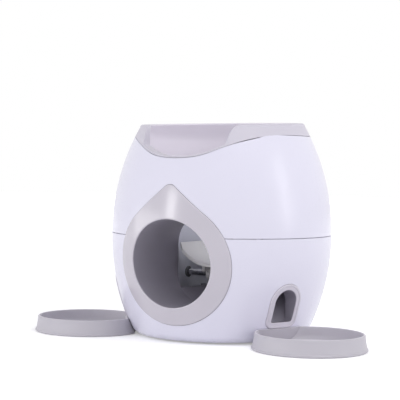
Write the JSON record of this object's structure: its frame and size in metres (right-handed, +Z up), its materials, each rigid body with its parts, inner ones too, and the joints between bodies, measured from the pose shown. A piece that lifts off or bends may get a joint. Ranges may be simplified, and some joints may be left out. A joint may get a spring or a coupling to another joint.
{
  "type": "automatic dog ball launcher",
  "caption": "Barrel-shaped ball dispenser for dogs: a ball dropped in the top bowl tips a cradle, rolls out of the front and drops food into the side trays.",
  "frame": {"origin": "on the floor at the barrel's axis, level with the feet's underside", "axes": "+Z up, the ball comes out towards -Y, and +X is to the right seen from the front"},
  "size_m": [0.3206, 0.2002, 0.1953],
  "materials": {
    "shell_white": "satin",
    "bowl_grey": "satin",
    "bezel_grey": "satin",
    "tray_grey": "satin",
    "tunnel_dark": "matte",
    "shaft_grey": "satin",
    "inner_grey": "matte",
    "inner_clear_grey": "satin",
    "cradle_white": "satin",
    "bush_grey": "matte",
    "base_dark": "matte",
    "rubber_black": "matte",
    "screw_steel": "brushed",
    "shaft_steel": "polished"
  },
  "bodies": {
    "casing": {"lower_shell": "shell_white", "upper_shell": "shell_white", "teardrop_bezel": "bezel_grey", "exit_tunnel": "tunnel_dark", "drop_shaft": "shaft_grey", "ball_ramp": "tunnel_dark", "cradle_bumper": "rubber_black", "base_plate": "base_dark", "rubber_feet": "rubber_black", "rotor_housing_left": "inner_grey", "rotor_housing_right": "inner_grey", "shaft_bush_left": "bush_grey", "shaft_bush_right": "bush_grey", "hopper_left": "inner_clear_grey", "hopper_right": "inner_clear_grey", "food_chute_left": "tunnel_dark", "food_chute_right": "tunnel_dark", "outlet_bezel_left": "bezel_grey", "outlet_bezel_right": "bezel_grey", "case_screws": "screw_steel", "base_screws": "screw_steel", "drop_shaft_screws": "screw_steel", "housing_screws": "screw_steel", "hopper_screws": "screw_steel", "bezel_screws": "screw_steel"},
    "rotor": {"ball_cradle": "cradle_white", "cradle_shaft": "shaft_steel", "counterweight": "shaft_steel", "cradle_pin": "shaft_steel", "shaft_clips": "screw_steel", "metering_wheel_left": "cradle_white", "metering_wheel_right": "cradle_white", "wheel_pin_left": "shaft_steel", "wheel_pin_right": "shaft_steel"},
    "bowl": {"top_bowl": "bowl_grey"},
    "right_tray": {"tray_right": "tray_grey"},
    "left_tray": {"tray_left": "tray_grey"}
  },
  "joints": [
    {"name": "cradle_tip", "type": "hinge", "parent": "casing", "child": "rotor", "pos_m": [0, 0.014, 0.054], "axis": [1, 0, 0], "range_deg": [0, 36]},
    {"name": "bowl_lift", "type": "slide", "parent": "casing", "child": "bowl", "axis": [0, 0, 1], "range_m": [0, 0.06]},
    {"name": "tray_right_pull", "type": "slide", "parent": "casing", "child": "right_tray", "axis": [0.9135, -0.4067, 0], "range_m": [0, 0.06]},
    {"name": "tray_left_pull", "type": "slide", "parent": "casing", "child": "left_tray", "axis": [-0.9135, -0.4067, 0], "range_m": [0, 0.06]}
  ]
}
